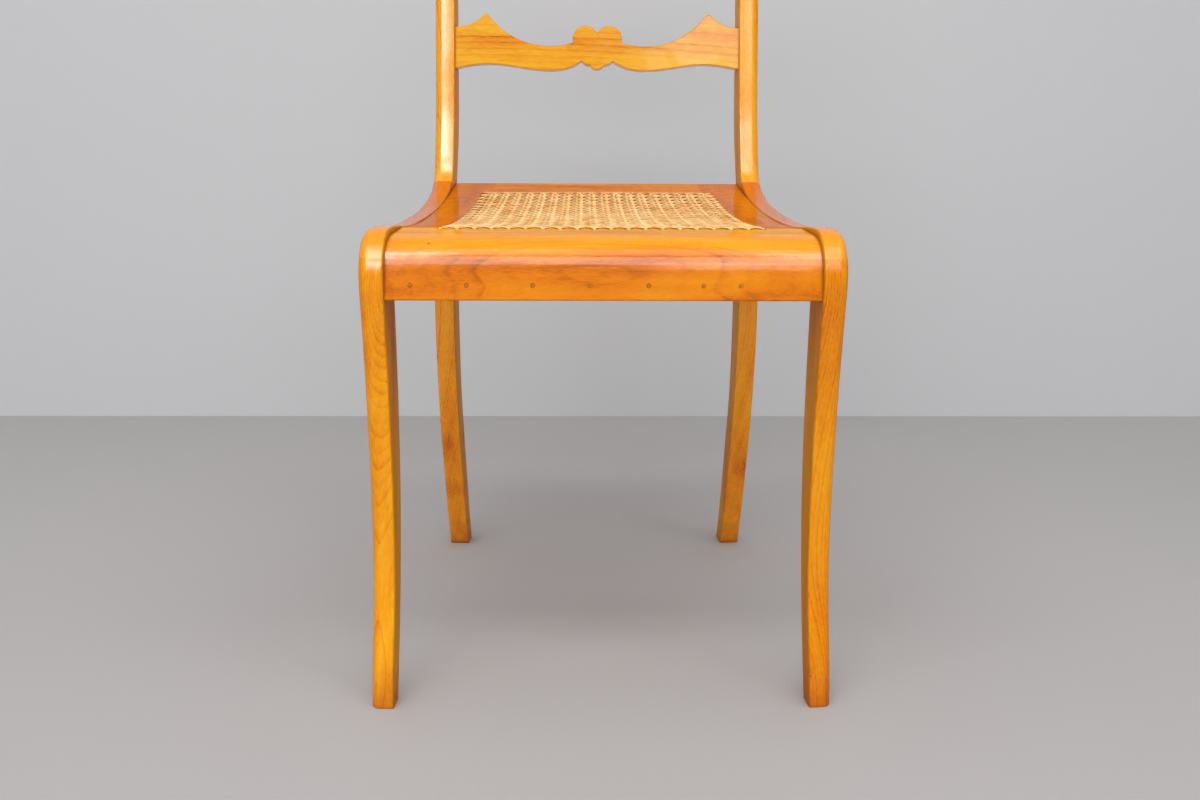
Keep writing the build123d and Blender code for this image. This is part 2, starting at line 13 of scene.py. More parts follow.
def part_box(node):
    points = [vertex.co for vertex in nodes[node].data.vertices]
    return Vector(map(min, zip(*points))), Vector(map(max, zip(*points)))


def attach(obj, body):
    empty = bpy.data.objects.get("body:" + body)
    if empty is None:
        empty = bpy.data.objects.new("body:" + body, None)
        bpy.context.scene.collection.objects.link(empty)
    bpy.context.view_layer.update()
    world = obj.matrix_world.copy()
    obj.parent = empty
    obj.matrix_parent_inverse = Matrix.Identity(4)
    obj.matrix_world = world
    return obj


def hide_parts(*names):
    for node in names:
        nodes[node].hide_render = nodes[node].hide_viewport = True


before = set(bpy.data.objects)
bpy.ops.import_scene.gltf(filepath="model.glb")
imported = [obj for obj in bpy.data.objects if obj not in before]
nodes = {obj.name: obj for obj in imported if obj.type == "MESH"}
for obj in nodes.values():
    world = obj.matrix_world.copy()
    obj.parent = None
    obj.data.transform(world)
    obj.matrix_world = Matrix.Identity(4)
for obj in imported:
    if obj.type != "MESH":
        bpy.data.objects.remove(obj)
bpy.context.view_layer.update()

MM = 0.001

# %% [markdown]
# ## Camera
# The picture was taken from in front, a little above the seat, with a normal lens. The camera looks
# down slightly, so that the seat shows as a thin wedge and the floor fills the lower half. A tracking
# constraint could aim it, but would lose its slight roll. So we write its place and its three turns as
# plain numbers, and leave the lens unshifted.

# %% Camera
CAMERA_PLACE = Vector((-0.029, -1.559, 0.629))
LENS = 42.0  # millimetres
SENSOR_WIDTH = 36.0  # millimetres
LOOK_DOWN = math.radians(13.5)
LOOK_RIGHT = math.radians(1.13)
CAMERA_ROLL = math.radians(0.3)

bpy.ops.object.select_all(action="DESELECT")
bpy.ops.object.camera_add()
camera = bpy.context.active_object
camera.name = "camera"
camera.data.lens = LENS
camera.data.sensor_width = SENSOR_WIDTH
turn = Matrix.Rotation(-LOOK_RIGHT, 4, "Z") @ Matrix.Rotation(math.pi / 2 - LOOK_DOWN, 4, "X")
camera.matrix_world = Matrix.Translation(CAMERA_PLACE) @ turn @ Matrix.Rotation(CAMERA_ROLL, 4, "Z")
bpy.context.scene.camera = camera
print("camera at", tuple(round(v, 3) for v in CAMERA_PLACE))

# %% [markdown]
# ## Helpers for materials
# Every material below is a small tree of shader nodes. They could be wired by hand in the shader editor.
# In code, one function adds a node, sets its settings, and fills its sockets with numbers or with links.
# Another turns a colour as a painter writes it (sRGB hex) into the linear light that the renderer
# counts in, and two more start a material and put it on a piece.


# %% Helpers for materials
def linear(hex_colour):
    """Linear RGBA of an sRGB colour such as D98C2B."""
    parts = [int(hex_colour[i:i + 2], 16) / 255 for i in (0, 2, 4)]
    return (*[p / 12.92 if p <= 0.04045 else ((p + 0.055) / 1.055) ** 2.4 for p in parts], 1.0)


def add_node(tree, kind, sockets=None, stops=None, **settings):
    """Adds a node. Sockets take a value or another node's output, and stops fill a colour ramp."""
    made = tree.nodes.new("ShaderNode" + kind)
    for name, value in settings.items():
        setattr(made, name, value)
    for key, value in (sockets or {}).items():
        if isinstance(value, bpy.types.NodeSocket):
            tree.links.new(value, made.inputs[key])
        else:
            made.inputs[key].default_value = value
    if stops:
        ramp = made.color_ramp
        while len(ramp.elements) < len(stops):
            ramp.elements.new(0.5)
        for element, (place, colour) in zip(ramp.elements, stops):
            element.position = place
            element.color = colour
    return made


def new_material(name):
    """An empty material, and its tree of nodes."""
    made = bpy.data.materials.new(name)
    made.use_nodes = True
    made.node_tree.nodes.clear()
    return made, made.node_tree


def dress(piece, material):
    """Gives a piece this material alone."""
    piece.data.materials.clear()
    piece.data.materials.append(material)


print("helpers: linear, add_node, new_material, dress")

# %% [markdown]
# ## Floor and backdrop
# The chair stands on a plain pale floor before a plain grey wall. Both could be one sheet with a curved
# sweep, but a wall of its own keeps the straight line behind the legs. Their paint is matt, and faintly
# cloudy so that it doesn't look drawn. The wall is clear from behind, so that it never hides the chair.

# %% Floor and backdrop
WALL_DEPTH = 0.935
STAGE_SIZE = 9.0
CLOUD = 990 * MM  # breadth of the cloudiness
FLOOR_DROP = 0.4 * MM  # keeps the floor clear of the feet's lower faces


def plain_stage(name, colour, mottle, roughness):
    """Matt paint with a faint cloudiness, seen from its front side only."""
    made, tree = new_material(name)
    # Without coordinates of its own, a noise counts the whole plane as 1.
    cloud = add_node(tree, "TexNoise", {"Scale": STAGE_SIZE / CLOUD, "Detail": 6.0, "Roughness": 0.65})
    shade = add_node(
        tree, "MapRange", {"Value": cloud.outputs["Fac"], "To Min": 1 - mottle, "To Max": 1 + mottle}
    )
    tint = add_node(
        tree, "VectorMath", {0: linear(colour)[:3], "Scale": shade.outputs[0]}, operation="SCALE"
    )
    paint = add_node(tree, "BsdfPrincipled", {"Base Color": tint.outputs[0], "Roughness": roughness})
    back = add_node(tree, "NewGeometry").outputs["Backfacing"]
    clear = add_node(tree, "BsdfTransparent")
    mix = add_node(tree, "MixShader", {0: back, 1: paint.outputs[0], 2: clear.outputs[0]})
    add_node(tree, "OutputMaterial", {"Surface": mix.outputs[0]})
    return made


bpy.ops.object.select_all(action="DESELECT")
bpy.ops.mesh.primitive_plane_add(size=STAGE_SIZE, location=(0, WALL_DEPTH - STAGE_SIZE / 2, -FLOOR_DROP))
floor = bpy.context.active_object
floor.name = "floor"
dress(floor, plain_stage("pale_floor", "B0ADAC", mottle=0.04, roughness=0.75))
bpy.ops.mesh.primitive_plane_add(
    size=STAGE_SIZE, location=(0, WALL_DEPTH, 0), rotation=(math.pi / 2, 0, 0)
)
wall = bpy.context.active_object
wall.name = "wall"
dress(wall, plain_stage("grey_wall", "CCCDCF", mottle=0.01, roughness=0.85))
print("floor and wall,", STAGE_SIZE, "m wide")

# %% [markdown]
# ## Light
# Polished wood mirrors its surroundings, so what it mirrors matters as much as what lights it. One set
# of lamps could do both, but then the mirrored streaks couldn't be placed without changing the shade.
# So there are two sets of soft lamps. The matt ones, overhead and in front, light the colours and stay
# out of the mirror image. The others show in the polish alone: two long bands draw the pale line along
# the front rail, and windows on the left and right streak the posts and knees. The sky is a plain grey
# white, and dimmer near the floor.

# %% Sky
SKY_TOP = 0.9  # brightness overhead
SKY_LOW = 0.22  # and near the floor, where a room is darker
SKY_RISE = (0.1, 0.9)  # from 0, level, to 1, straight up: the sky brightens between these

world = bpy.data.worlds.new("studio")
bpy.context.scene.world = world
world.use_nodes = True
sky_tree = world.node_tree
sky_tree.nodes.clear()
sky_place = add_node(sky_tree, "TexCoord").outputs["Generated"]
sky_height = add_node(sky_tree, "SeparateXYZ", {0: sky_place}).outputs["Z"]
sky = add_node(
    sky_tree, "MapRange",
    {
        "Value": sky_height, "From Min": SKY_RISE[0], "From Max": SKY_RISE[1],
        "To Min": SKY_LOW, "To Max": SKY_TOP,
    },
)
glow = add_node(sky_tree, "Background", {"Color": linear("FAFAFC"), "Strength": sky.outputs[0]})
add_node(sky_tree, "OutputWorld", {"Surface": glow.outputs[0]})
bpy.context.scene.view_settings.view_transform = "Standard"
print("sky from", SKY_LOW, "to", SKY_TOP)

# %% Lamps
LAMPS = {
    # name: (place, aim, width, height, watts, where it shows: on matt surfaces or in the polish)
    "ceiling_strip": ((0.0, -1.22, 2.4), (0.0, 0.0, 0.45), 3.4, 0.46, 25.0, "matt"),
    "front_fill": ((-0.4, -3.0, 2.3), (0.0, 0.2, 0.4), 2.8, 1.8, 31.0, "matt"),
    "low_fill": ((-0.3, -3.0, 0.75), (0.0, 0.2, 0.3), 2.0, 0.7, 17.5, "matt"),
    "front_band": ((0.0, -2.5, 2.1), (0.0, -0.2, 0.45), 3.4, 0.95, 66.0, "polish"),
    "top_band": ((0.0, -1.25, 2.5), (0.0, -0.2, 0.45), 3.4, 0.9, 26.0, "polish"),
    "left_window_top": ((-0.85, -2.4, 3.05), (-0.2, -0.2, 0.45), 0.6, 1.3, 42.0, "polish"),
    "left_window_high": ((-1.22, -3.4, 2.05), (-0.1, 0.2, 0.6), 0.65, 0.8, 42.0, "polish"),
    "left_window_low": ((-1.22, -3.4, 1.45), (-0.1, 0.2, 0.6), 0.65, 0.4, 9.0, "polish"),
    "right_window_top": ((0.85, -2.4, 3.05), (0.2, -0.2, 0.45), 0.4, 1.0, 12.0, "polish"),
    "right_window": ((1.2, -3.4, 1.75), (0.1, 0.2, 0.6), 0.3, 0.9, 8.0, "polish"),
    "right_card": ((0.5, -3.4, 1.85), (0.1, 0.2, 0.65), 0.46, 0.8, 6.5, "polish"),
}
for name, (place, aim, width, height, watts, shows) in LAMPS.items():
    bpy.ops.object.light_add(type="AREA", location=place)
    lamp = bpy.context.active_object
    lamp.name = name
    lamp.data.shape = "RECTANGLE"
    lamp.data.size, lamp.data.size_y, lamp.data.energy = width, height, watts
    lamp.visible_diffuse = shows == "matt"
    lamp.visible_glossy = shows == "polish"
    lamp.rotation_euler = (Vector(aim) - Vector(place)).to_track_quat("-Z", "Y").to_euler()
print("lamps:", ", ".join(LAMPS))

# %% [markdown]
# ## Cherry: a piece in its log
# The frame is cherry, sawn from planks. The figure on a face is a cut through the log's growth rings, so
# it follows from how the piece lay in the log. A flat picture of grain, wrapped round a leg, would break
# at its edges. So we lay each piece in a log of its own, with a direction and a heart line: the distance
# from the heart then counts the rings, and the figure runs round the edges by itself. A log that bends
# a little gives the arched figure on flat faces.

# %% A piece in its log
PRESS = 0.1  # lengthwise, because wood's streaks are about ten times as long as they are wide


def lie_in_log(tree, place, grain, heart, bow, seed):
    """A point's place in its log, the same pressed lengthwise for the noises, and its radius."""
    lie = {"Location": heart, "Rotation": Vector(grain).to_track_quat("Z", "Y").to_euler()}
    straight = add_node(tree, "Mapping", {"Vector": place, **lie}, vector_type="TEXTURE").outputs[0]
    length = add_node(tree, "SeparateXYZ", {0: straight}).outputs["Z"]
    square = add_node(tree, "Math", {0: length, 1: length}, operation="MULTIPLY").outputs[0]
    sag = add_node(
        tree, "VectorMath", {0: (0.0, bow, 0.0), "Scale": square}, operation="SCALE"
    ).outputs[0]
    bent = add_node(tree, "VectorMath", {0: place, 1: sag}, operation="ADD").outputs[0]
    log = add_node(tree, "Mapping", {"Vector": bent, **lie}, vector_type="TEXTURE").outputs[0]
    x, y, z = add_node(tree, "SeparateXYZ", {0: log}).outputs
    along = add_node(tree, "Math", {0: z, 1: PRESS, 2: seed}, operation="MULTIPLY_ADD").outputs[0]
    pressed = add_node(tree, "CombineXYZ", {"X": x, "Y": y, "Z": along}).outputs[0]
    flat = add_node(tree, "CombineXYZ", {"X": x, "Y": y}).outputs[0]
    radius = add_node(tree, "VectorMath", {0: flat}, operation="LENGTH").outputs["Value"]
    return log, pressed, radius


print("logs pressed to", PRESS, "of their length")

# %% [markdown]
# ## Cherry: tone and knots
# Two planks of cherry seldom match, and one plank may darken from end to end. On the front rail the same
# change paints the top lighter: partly paler wood, partly painted light from above. A knot pushes the
# rings apart and stains the wood round it. Painted spots would look stuck on, so a knot here adds to the
# radius from which the rings are counted, and the rings bend round it.

# %% Tone and knots
PALEST, TONE_SHARE = 0.08, 0.5  # depth of colour of the tone 0, and what the tone 1 adds
KNOT_SWELL = 0.4  # height of the bulge in the rings, as a share of the knot's radius
KNOT_CORE = 0.25  # share of the radius that is stained most
KNOT_STAIN = 0.45


def plain_tone(tree, place, tone, fade_and_light):
    """The wood's depth of colour before its figure, with its fade along one direction."""
    depth = PALEST + TONE_SHARE * tone
    if not fade_and_light:
        return depth
    # On the front rail this change is partly painted light from above.
    way, start, end, change = fade_and_light
    reach = add_node(tree, "VectorMath", {0: place, 1: way}, operation="DOT_PRODUCT").outputs["Value"]
    shift = add_node(
        tree, "MapRange", {"Value": reach, "From Min": start, "From Max": end, "To Max": change},
        interpolation_type="SMOOTHSTEP",
    ).outputs[0]
    return add_node(tree, "Math", {0: shift, 1: depth}, operation="ADD").outputs[0]


def with_knots(tree, place, radius, depth, knots):
    """The radius and the depth of colour, changed round each knot."""
    for spot, size in knots:
        edge = size * MM
        gap = add_node(tree, "VectorMath", {0: place, 1: spot}, operation="DISTANCE").outputs["Value"]
        swell = add_node(
            tree, "MapRange", {"Value": gap, "From Max": edge, "To Min": edge * KNOT_SWELL, "To Max": 0.0},
            interpolation_type="SMOOTHERSTEP",
        ).outputs[0]
        radius = add_node(tree, "Math", {0: radius, 1: swell}, operation="ADD").outputs[0]
        stain = add_node(
            tree, "MapRange",
            {
                "Value": gap, "From Min": edge * KNOT_CORE, "From Max": edge,
                "To Min": KNOT_STAIN, "To Max": 0.0,
            },
        ).outputs[0]
        depth = add_node(tree, "Math", {0: depth, 1: stain}, operation="ADD").outputs[0]
    return radius, depth


print("depth of colour from", PALEST, "to", PALEST + TONE_SHARE)

# %% [markdown]
# ## Cherry: rings and streaks
# Cherry's rings are two to four millimetres wide and a little darker at their late edge, in some years
# more than in others. Between them run thin fibres, and broad streaks drift from straw yellow to red
# amber. A wave texture would give rings that are all alike. So the rings are numbered: the whole part of
# radius over ring width is the year, which draws its strength by lot, and the rest is the season.

# %% Rings and streaks
WAVER = 4 * MM  # by which the rings leave the circle
WAVER_BREADTH = 45 * MM
RING_FAINT, RING_STRONG = 0.05, 0.45  # depth of colour that a year's late edge adds
# Darkness through a year: it fades after the last late edge, and rises towards the next.
LATE_EDGE = ((0.0, (0.5,) * 4), (0.15, (0.0,) * 4), (0.62, (0.2,) * 4), (0.94, (1.0,) * 4))
STREAK_BREADTH = 30 * MM
FIBRE_BREADTH = 0.9 * MM  # real ones are finer, but would not show from a step away
FIBRE_LEAST, FIBRE_SHARE = 0.03, 0.16  # strength of the fibres without any figure, and what figure adds
NOISE_LOW, NOISE_HIGH = 0.3, 0.7  # between which most of a noise's values lie


def ring_lines(tree, pressed, radius, ring, figure):
    """A darker line at the late edge of every year."""
    waver = add_node(
        tree, "TexNoise", {"Vector": pressed, "Scale": 1 / WAVER_BREADTH, "Detail": 3.0, "Roughness": 0.45}
    ).outputs["Fac"]
    swing = add_node(tree, "MapRange", {"Value": waver, "To Min": -WAVER, "To Max": WAVER}).outputs[0]
    grown = add_node(tree, "Math", {0: radius, 1: swing}, operation="ADD").outputs[0]
    count = add_node(tree, "Math", {0: grown, 1: ring * MM}, operation="DIVIDE").outputs[0]
    year = add_node(tree, "Math", {0: count}, operation="FLOOR").outputs[0]
    season = add_node(tree, "Math", {0: count}, operation="FRACT").outputs[0]
    late = add_node(tree, "ValToRGB", {"Fac": season}, stops=LATE_EDGE).outputs["Color"]
    lot = add_node(tree, "TexWhiteNoise", {"W": year}, noise_dimensions="1D").outputs["Value"]
    strength = add_node(
        tree, "MapRange", {"Value": lot, "To Min": RING_FAINT * figure, "To Max": RING_STRONG * figure}
    ).outputs[0]
    return add_node(tree, "Math", {0: late, 1: strength}, operation="MULTIPLY").outputs[0]


def streaks(tree, pressed, breadth, strength, detail, roughness):
    """Streaks along the fibres, lighter and darker by the strength."""
    drift = add_node(
        tree, "TexNoise",
        {"Vector": pressed, "Scale": 1 / breadth, "Detail": detail, "Roughness": roughness},
    ).outputs["Fac"]
    return add_node(
        tree, "MapRange",
        {
            "Value": drift, "From Min": NOISE_LOW, "From Max": NOISE_HIGH,
            "To Min": -strength, "To Max": strength,
        },
    ).outputs[0]


print("streaks", round(STREAK_BREADTH / MM), "mm and fibres", FIBRE_BREADTH / MM, "mm wide")

# %% [markdown]
# ## Cherry: age, wear and painted shade
# The chair is old. Cherry has dark gum specks, a millimetre or two across and sparse. Polish and dust
# have darkened in the joints, the feet are scuffed, and the sides that face the chair's middle were
# polished less. Painted shade darkens the hollows and the inner sides as well. Each of these could be
# painted on by hand. Rules do it here, so that the marks sit where they come from: in what is hollow,
# near the floor, and where a face points at the chair's middle.

# %% Specks, and old polish with painted shade in the hollows
GUM_SPACING = 18 * MM
GUM_RARE = 0.6  # share of the places without a speck
GUM_RADIUS = 0.06  # of the largest speck, as a share of the spacing
JOINT_REACH = 7 * MM
JOINT_HOLLOW = (0.3, 0.82)  # open share of the surroundings, from the darkest hollow, dusty and in painted shade, to open wood


def gum_specks(tree, log, wood):
    """The wood's colour with sparse dark specks."""
    gum = add_node(tree, "TexVoronoi", {"Vector": log, "Scale": 1 / GUM_SPACING})
    lot = add_node(tree, "SeparateColor", {"Color": gum.outputs["Color"]}).outputs[0]
    speck = add_node(
        tree, "MapRange", {"Value": lot, "From Min": GUM_RARE, "To Max": GUM_RADIUS}
    ).outputs[0]
    within = add_node(
        tree, "Math", {0: gum.outputs["Distance"], 1: speck}, operation="LESS_THAN"
    ).outputs[0]
    mix = add_node(tree, "Mix", {"Factor": within, "A": wood, "B": linear("7A3A10")}, data_type="RGBA")
    return mix.outputs["Result"]


def hollow_grime_and_shade(tree, wood, grime_and_shade):
    """The wood's colour darkened in joints and hollows: old polish and dust, and painted shade."""
    # Dust and painted shade: the less of its surroundings a point sees, the darker it is painted.
    open_share = add_node(tree, "AmbientOcclusion", {"Distance": JOINT_REACH}, samples=6).outputs["AO"]
    dirt_and_shade = add_node(
        tree, "MapRange",
        {
            "Value": open_share, "From Min": JOINT_HOLLOW[0], "From Max": JOINT_HOLLOW[1],
            "To Min": grime_and_shade, "To Max": 0.0,
        },
    ).outputs[0]
    mix = add_node(tree, "Mix", {"Factor": dirt_and_shade, "A": wood, "B": linear("421604")}, data_type="RGBA")
    return mix.outputs["Result"]


print("gum specks", round(GUM_SPACING / MM), "mm apart, grime", round(JOINT_REACH / MM), "mm round joints")

# %% Scuffed feet, and painted shade on the inner sides
SCUFF_BREADTH = 11 * MM
SCUFF_RAGGED = 60 * MM  # height of the ragged border of the scuffs
SCUFF_LOW, SCUFF_HIGH = 25 * MM, 75 * MM  # where the scuffs start to fade and end, ragged part included
SCUFF_MOST = 0.65
INWARDS = (-0.03, -0.12)  # sideways place times normal, from a hardly inner side to a fully inner one


def scuffed_feet(tree, place, wood):
    """The wood's colour with darker, scuffed feet."""
    height = add_node(tree, "SeparateXYZ", {0: place}).outputs["Z"]
    scuff = add_node(
        tree, "TexNoise", {"Vector": place, "Scale": 1 / SCUFF_BREADTH, "Detail": 4.0}
    ).outputs["Fac"]
    ragged = add_node(
        tree, "Math", {0: scuff, 1: SCUFF_RAGGED, 2: height}, operation="MULTIPLY_ADD"
    ).outputs[0]
    worn = add_node(
        tree, "MapRange",
        {
            "Value": ragged, "From Min": SCUFF_LOW, "From Max": SCUFF_HIGH,
            "To Min": SCUFF_MOST, "To Max": 0.0,
        },
    ).outputs[0]
    mix = add_node(tree, "Mix", {"Factor": worn, "A": wood, "B": linear("B0560E")}, data_type="RGBA")
    return mix.outputs["Result"]


def faces_inwards(tree, place, normal):
    """1 on the sides that face the chair's middle, where the normal points against the place."""
    outward = add_node(tree, "VectorMath", {0: normal, 1: place}, operation="MULTIPLY").outputs[0]
    sideways = add_node(tree, "SeparateXYZ", {0: outward}).outputs["X"]
    return add_node(
        tree, "MapRange", {"Value": sideways, "From Min": INWARDS[0], "From Max": INWARDS[1]}
    ).outputs[0]


print("scuffs end below", round(SCUFF_HIGH / MM), "mm")

# %% [markdown]
# ## Cherry: hand-planed faces
# Faces planed by hand are never quite flat. They ripple by a fraction of a millimetre, and the back posts
# are bellied across, so that a window's mirror image runs down them as a streak and not as a sheet. The
# drawn faces are flat, and a bump is enough here: it bends the mirror image and no outline.

# %% Hand-planed faces
RIPPLE = 0.3 * MM
RIPPLE_BREADTH = 26 * MM
SIDE_TURN = math.radians(4.26)  # by which each side frame turns in towards the back
FRAME_SIDEWAYS = (math.cos(SIDE_TURN), math.sin(SIDE_TURN), 0.0)  # across the right-hand side frame
FRAME_MIDDLE = 0.1985  # distance of the side frames' middle planes from the chair's
BELLY = 2.9  # of the posts, per metre: half a millimetre at the faces' edges


def planed(tree, place, belly):
    """The bumped normal of a face that ripples and is bellied across the side frame."""
    ripple = add_node(
        tree, "TexNoise", {"Vector": place, "Scale": 1 / RIPPLE_BREADTH, "Detail": 1.0}
    ).outputs["Fac"]
    mirrored = add_node(tree, "VectorMath", {0: place}, operation="ABSOLUTE").outputs[0]
    aside = add_node(
        tree, "VectorMath", {0: mirrored, 1: FRAME_SIDEWAYS}, operation="DOT_PRODUCT"
    ).outputs["Value"]
    off_middle = add_node(tree, "Math", {0: aside, 1: FRAME_MIDDLE}, operation="SUBTRACT").outputs[0]
    square = add_node(tree, "Math", {0: off_middle, 1: off_middle}, operation="MULTIPLY").outputs[0]
    bellied = add_node(tree, "Math", {0: square, 1: -belly}, operation="MULTIPLY").outputs[0]
    relief = add_node(
        tree, "Math", {0: ripple, 1: RIPPLE, 2: bellied}, operation="MULTIPLY_ADD"
    ).outputs[0]
    return add_node(tree, "Bump", {"Height": relief, "Strength": 1.0, "Distance": 1.0}).outputs[0]


print("ripple", round(RIPPLE / MM, 1), "mm high and", round(RIPPLE_BREADTH / MM), "mm wide")

# %% [markdown]
# ## French-polished cherry
# French polish is shellac, rubbed on in many thin coats: an amber film with a soft mirror shine. It could
# be mixed into the wood's colour, but a film of its own does what shellac does: its tint deepens where
# the eye skims the surface. So the wood below has no shine, and the shader's coat carries it.

# %% French-polished cherry
SHELLAC_IOR = 1.43
SHELLAC_ROUGHNESS = 0.13
WOOD_ROUGHNESS = 0.55
INNER_PAINTED_SHADE = 0.35  # share of painted shade, a darker brown, on the inner sides
INNER_SHINE = 0.35  # and of the polish that they got
CHERRY_TONES = (
    (0.0, linear("F4BA28")), (0.35, linear("EDA008")), (0.7, linear("D97B00")), (1.0, linear("8F4404")),
)


def cherry(name, grain, heart, ring=2.6, bow=0.0, tone=0.5, figure=1.0, streak=0.2, belly=0.0, seed=0.0,
           knots=(), gloss=SHELLAC_ROUGHNESS, coat=1.0, shellac="FFEBC4", grime_and_shade=0.9, fade_and_light=None):
    """Cherry for one piece: grain is the log's direction, heart a point on its middle line, in metres.

    Ring is the ring width in millimetres, and bow bends the log (per metre). Tone goes from 0, straw, to
    1, red amber. Figure is the strength of rings and fibres, streak that of the broad streaks, and seed
    sets them apart from other pieces'. Belly bends the mirror image across the side frames (per metre).
    Knots are pairs, a place in metres and a radius in millimetres. Gloss is the polish's roughness, coat
    its share and shellac its tint, and grime the darkening in joints and hollows: old polish and dust, and
    painted shade. Fade is a direction, two distances along it, and by how much the wood darkens from the
    first to the second. On the front rail it gives a lighter top: paler wood and painted light from above.
    """
    made, tree = new_material(name)
    space = add_node(tree, "TexCoord").outputs
    place = space["Object"]
    log, pressed, radius = lie_in_log(tree, place, grain, heart, bow, seed)
    radius, depth = with_knots(tree, place, radius, plain_tone(tree, place, tone, fade_and_light), knots)
    fibre = FIBRE_LEAST + FIBRE_SHARE * figure
    for layer in (
        ring_lines(tree, pressed, radius, ring, figure),
        streaks(tree, pressed, STREAK_BREADTH, streak, detail=3.0, roughness=0.65),
        streaks(tree, pressed, FIBRE_BREADTH, fibre, detail=2.0, roughness=0.5),
    ):
        depth = add_node(tree, "Math", {0: depth, 1: layer}, operation="ADD").outputs[0]
    wood = add_node(tree, "ValToRGB", {"Fac": depth}, stops=CHERRY_TONES).outputs["Color"]
    # old polish and dust in the joints, and painted shade in the hollows
    wood = hollow_grime_and_shade(tree, gum_specks(tree, log, wood), grime_and_shade)
    wood = scuffed_feet(tree, place, wood)
    inner = faces_inwards(tree, place, space["Normal"])
    # Painted shade: the sides that face the chair's middle are darkened towards brown.
    inner_shade = add_node(tree, "Math", {0: inner, 1: INNER_PAINTED_SHADE}, operation="MULTIPLY").outputs[0]
    wood = add_node(tree, "Mix", {"Factor": inner_shade, "A": wood, "B": linear("7A3E14")}, data_type="RGBA")
    shine = add_node(tree, "MapRange", {"Value": inner, "To Min": coat, "To Max": INNER_SHINE * coat})
    bump = planed(tree, place, belly)
    polish = add_node(
        tree, "BsdfPrincipled",
        {
            "Base Color": wood.outputs["Result"], "Roughness": WOOD_ROUGHNESS, "Specular IOR Level": 0.0,
            "Normal": bump, "Coat Weight": shine.outputs[0], "Coat Roughness": gloss,
            "Coat IOR": SHELLAC_IOR, "Coat Normal": bump, "Coat Tint": linear(shellac),
        },
    )
    add_node(tree, "OutputMaterial", {"Surface": polish.outputs[0]})
    return made


print("cherry in", len(CHERRY_TONES), "tones")

# %% [markdown]
# ## The frame's pieces
# Every piece was sawn from another part of the wood, so each gets its own log, seed and tone. The legs
# show arched figure and are worn to a satin shine. The splat is pale and streaky, the front rail and the
# seat's side boards are red amber, and the posts have knots below the seat. One material for all would
# be quicker, but rings would then run on from one piece into the next, as if cut from a single block.

# %% The frame's pieces
UP, DOWN, BACK, ACROSS = (0.0, 0.0, 1.0), (0.0, 0.0, -1.0), (0.0, 1.0, 0.0), (1.0, 0.0, 0.0)
LEG = dict(gloss=0.2, coat=0.62)
POST = dict(grain=UP, tone=0.44, belly=BELLY, gloss=0.18, fade_and_light=(UP, 0.42, 0.5, -0.15))
SIDE_RAIL = dict(tone=0.4, figure=0.3, streak=0.08, gloss=0.2, fade_and_light=(BACK, -0.22, -0.05, 0.4))
SIDE_BOARD = dict(tone=1.33, figure=0.25, streak=0.08, coat=0.5, grime_and_shade=0.2)
FRAME_FIGURE = {
    "front_leg_left": dict(
        LEG, grain=(0.12, 0.08, 1.0), heart=(-0.213, -0.272, 0.34), ring=2.5, tone=0.45, figure=0.7,
        streak=0.28, seed=1.3, fade_and_light=(UP, 0.25, 0.42, 0.18),
    ),
    "front_leg_right": dict(
        LEG, grain=(0.0, 0.03, 1.0), heart=(0.19, -0.275, 0.3), ring=3.0, tone=0.63, figure=0.65,
        streak=0.2, seed=2.7, fade_and_light=(DOWN, -0.3, 0.0, 0.22),
    ),
    "back_post_left": dict(
        POST, heart=(-0.08, 0.27, 0.3), seed=4.1,
        knots=(((-0.19, 0.20, 0.16), 26.0), ((-0.188, 0.215, 0.09), 22.0)),
    ),
    "back_post_right": dict(
        POST, heart=(0.3, 0.27, 0.3), seed=5.2, knots=(((0.2, 0.2, 0.12), 24.0),),
    ),
    "side_rail_left": dict(SIDE_RAIL, grain=(0.07, 1.0, 0.0), heart=(-0.3, 0.0, 0.36), seed=6.4),
    "side_rail_right": dict(SIDE_RAIL, grain=(-0.07, 1.0, 0.0), heart=(0.3, 0.0, 0.37), seed=7.5),
    # The front rail's lighter top: partly paler wood, partly painted light from the lamps above.
    "front_rail": dict(
        grain=(1.0, 0.0, 0.01), heart=(0.0, -0.12, 0.412), ring=3.0, bow=0.45, tone=1.2, figure=0.33,
        streak=0.22, seed=8.6, coat=0.8, fade_and_light=(UP, 0.447, 0.464, -0.45),
    ),
    "seat_frame_front": dict(
        grain=ACROSS, heart=(0.0, -0.1, 0.36), tone=0.25, streak=0.26, seed=9.1, coat=0.35, grime_and_shade=0.2,
    ),
    "seat_frame_left": dict(SIDE_BOARD, grain=(0.07, 1.0, 0.0), heart=(-0.17, 0.0, 0.36), seed=10.3),
    "seat_frame_right": dict(SIDE_BOARD, grain=(-0.07, 1.0, 0.0), heart=(0.16, 0.0, 0.35), seed=11.8),
    "seat_frame_rear": dict(
        grain=ACROSS, heart=(0.0, 0.1, 0.36), tone=1.0, seed=12.2, coat=0.45, grime_and_shade=0.2,
    ),
    "back_splat": dict(
        grain=(1.0, 0.0, -0.035), heart=(0.0, 0.3, 0.57), ring=3.6, bow=-0.12, tone=0.1, figure=1.1,
        streak=0.36, seed=13.9, shellac="F4EEC6",
    ),
    "crest_rail": dict(grain=ACROSS, heart=(0.0, 0.34, 0.78), bow=0.15, tone=0.3, seed=15.1),
    "rear_rail": dict(grain=ACROSS, heart=(0.0, 0.12, 0.38), tone=0.35, seed=16.6, gloss=0.3),
}
for name, lie in FRAME_FIGURE.items():
    dress(nodes[name], cherry("cherry_" + name, **lie))
print("polished pieces:", len(FRAME_FIGURE))

